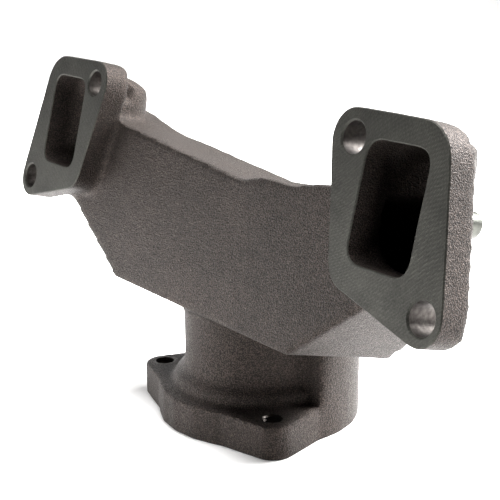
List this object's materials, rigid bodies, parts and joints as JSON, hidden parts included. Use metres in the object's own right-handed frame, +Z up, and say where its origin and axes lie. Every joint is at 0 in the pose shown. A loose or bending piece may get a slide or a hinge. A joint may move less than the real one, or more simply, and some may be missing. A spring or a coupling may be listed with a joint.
{
  "type": "exhaust manifold",
  "caption": "Cast-iron exhaust manifold with two leaning port flanges, a flat-fronted log and a round neck down to a tapped outlet flange.",
  "frame": {"origin": "bottom centre of the overall box, which is the centre of the outlet face on the outlet bore's axis", "axes": "+X along the two ports, +Y away from the engine, +Z up from the outlet face"},
  "size_m": [0.2724, 0.0792, 0.1321],
  "materials": {
    "cast_iron": "sand-cast grey iron, dull and grainy, with milled flange faces",
    "pin_steel": "plain turned steel"
  },
  "bodies": {
    "root": {"manifold_casting": "cast_iron", "rear_pin": "pin_steel"}
  },
  "joints": []
}
